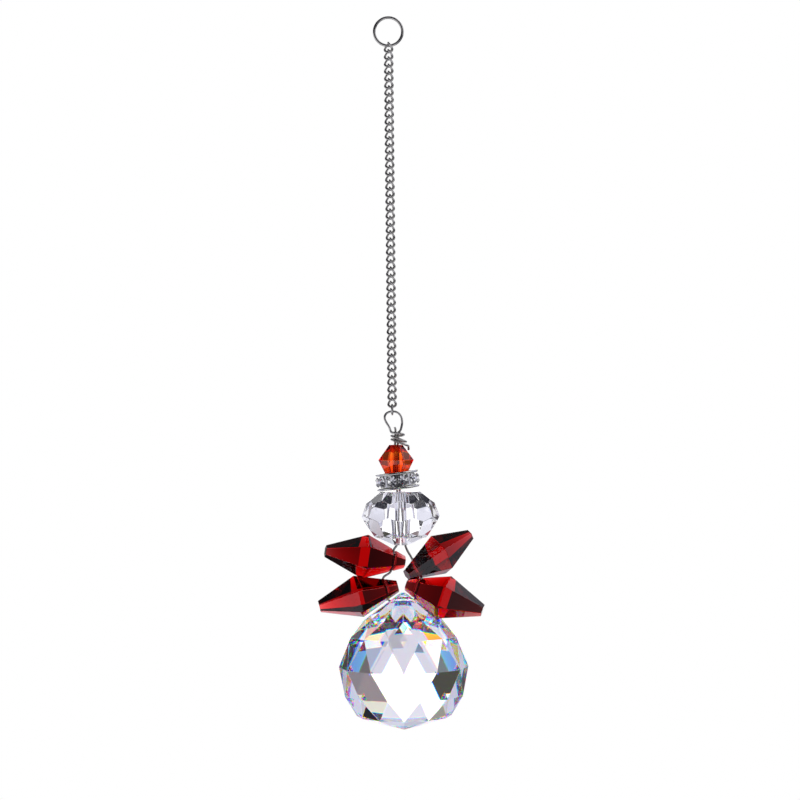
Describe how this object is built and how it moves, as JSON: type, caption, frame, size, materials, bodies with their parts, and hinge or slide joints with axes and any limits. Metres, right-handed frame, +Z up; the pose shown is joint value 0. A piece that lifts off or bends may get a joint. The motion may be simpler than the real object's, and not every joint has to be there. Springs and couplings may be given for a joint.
{
  "type": "hanging crystal suncatcher",
  "caption": "Butterfly suncatcher: ruby crystal wing drops and a clear faceted ball under a wide clear bead, a stone-set spacer and an amber-red bead, on a fine curb chain with a ring.",
  "frame": {"origin": "the top of the hanging ring's inside, where a hook bears", "axes": "+Z up along the chain, +X to the right across the wings as seen from the front, -Y to the front"},
  "size_m": [0.0397, 0.0308, 0.1698],
  "materials": {
    "steel_wire": "bright drawn wire",
    "chain_steel": "bright plated links",
    "silver_plate": "silver plated",
    "clear_stone": "cut and polished",
    "clear_crystal": "cut and polished",
    "ruby_crystal": "cut and polished",
    "amber_red_crystal": "cut and polished"
  },
  "bodies": {
    "root": {"hanging_ring": "steel_wire", "curb_chain": "chain_steel", "binding_wire": "steel_wire", "bicone_bead": "amber_red_crystal", "rondelle_setting": "silver_plate", "rhinestone_01": "clear_stone", "rhinestone_02": "clear_stone", "rhinestone_03": "clear_stone", "rhinestone_04": "clear_stone", "rhinestone_05": "clear_stone", "rhinestone_06": "clear_stone", "rhinestone_07": "clear_stone", "rhinestone_08": "clear_stone", "rhinestone_09": "clear_stone", "rhinestone_10": "clear_stone", "clear_bead": "clear_crystal", "wing_drop_upper_left": "ruby_crystal", "wing_drop_lower_left": "ruby_crystal", "wing_drop_upper_right": "ruby_crystal", "wing_drop_lower_right": "ruby_crystal", "crystal_ball": "clear_crystal"}
  },
  "joints": []
}
